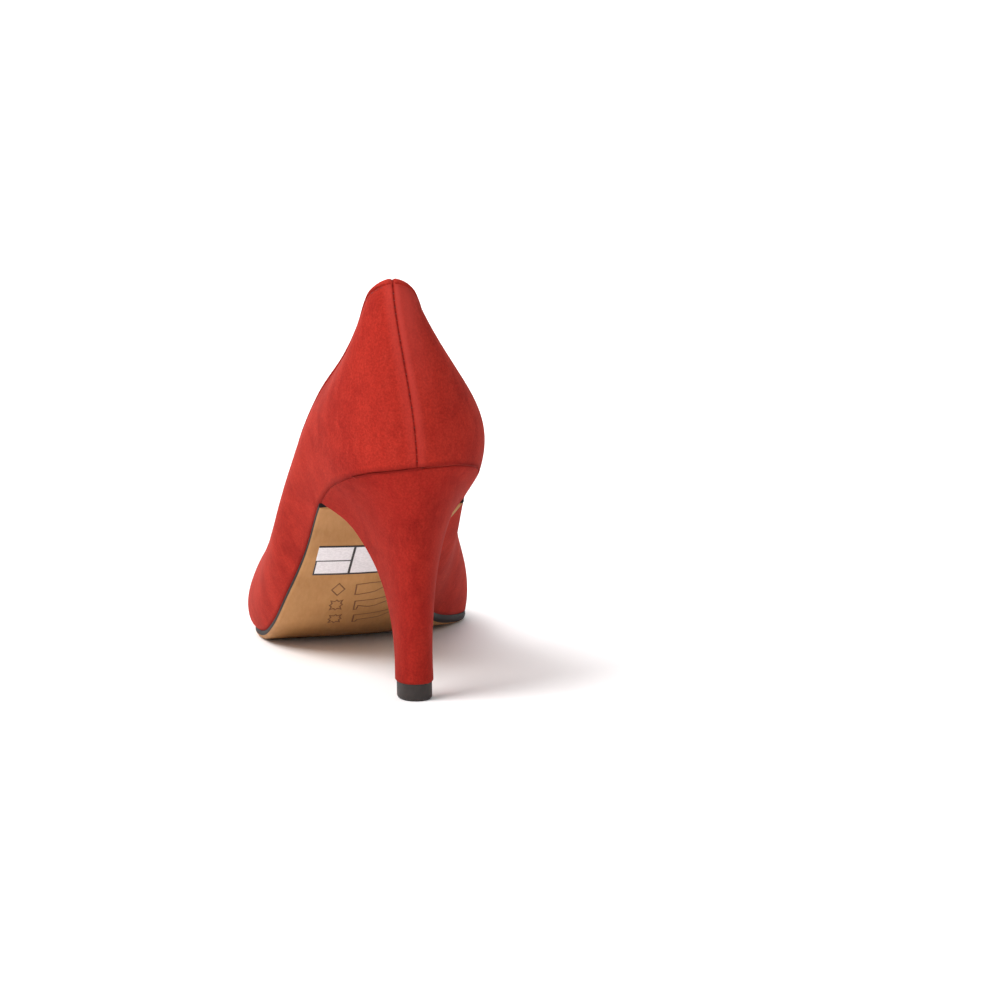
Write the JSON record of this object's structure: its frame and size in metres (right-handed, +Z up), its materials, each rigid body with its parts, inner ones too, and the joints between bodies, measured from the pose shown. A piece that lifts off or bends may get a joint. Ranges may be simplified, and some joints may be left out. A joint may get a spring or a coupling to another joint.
{
  "type": "high heel pump",
  "caption": "Left foot high heel pump with a suede upper, pointed round toe, leather sole with an arched waist, and a slim suede-covered heel on a small top piece.",
  "frame": {"origin": "on the floor under the middle of the whole shoe's box", "axes": "+Y towards the toe, +Z up, -X towards the outer side of the left foot"},
  "size_m": [0.0794, 0.2252, 0.1347],
  "materials": {
    "upper_suede": "brushed suede nap, semi-matt",
    "binding_suede": "folded suede strip",
    "red_thread": "fine sewing thread",
    "stay_tape": "woven cotton tape",
    "stiffener": "impregnated thermoplastic sheet",
    "interlining": "napped cotton",
    "lining_leather": "smooth unfinished lining leather",
    "grip_suede": "brushed suede",
    "board_soft": "cellulose insole board",
    "board_stiff": "pressed shank board",
    "shank_steel": "tempered strip steel",
    "rivet_steel": "bright plated",
    "cork": "bonded cork sheet",
    "sole_leather": "waxed natural leather with a dark painted edge",
    "foam": "open-cell foam sheet",
    "sock_leather": "smooth lining leather",
    "heel_abs": "moulded ABS",
    "heel_suede": "brushed suede nap, semi-matt",
    "tube_steel": "drawn steel tube",
    "top_piece_rubber": "moulded polyurethane, matt",
    "pin_steel": "knurled steel pin",
    "screw_steel": "yellow zinc plated",
    "nail_steel": "bright steel",
    "label_paper": "white paper with ruled lines, blank"
  },
  "bodies": {
    "root": {"suede_upper": "upper_suede", "topline_binding": "binding_suede", "topline_stitching": "red_thread", "topline_tape": "stay_tape", "toe_puff": "stiffener", "heel_counter": "stiffener", "back_stay": "stay_tape", "interlining_lateral": "interlining", "interlining_medial": "interlining", "vamp_lining": "lining_leather", "quarter_lining": "lining_leather", "heel_grip": "grip_suede", "insole_forepart": "board_soft", "insole_backpart": "board_stiff", "steel_shank": "shank_steel", "shank_rivets": "rivet_steel", "bottom_filler": "cork", "outsole": "sole_leather", "sock_foam": "foam", "sock_lining": "sock_leather", "heel_block": "heel_abs", "heel_cover": "heel_suede", "heel_tube": "tube_steel", "top_piece": "top_piece_rubber", "top_piece_pin": "pin_steel", "heel_screw": "screw_steel", "heel_nails": "nail_steel", "size_label": "label_paper"}
  },
  "joints": []
}
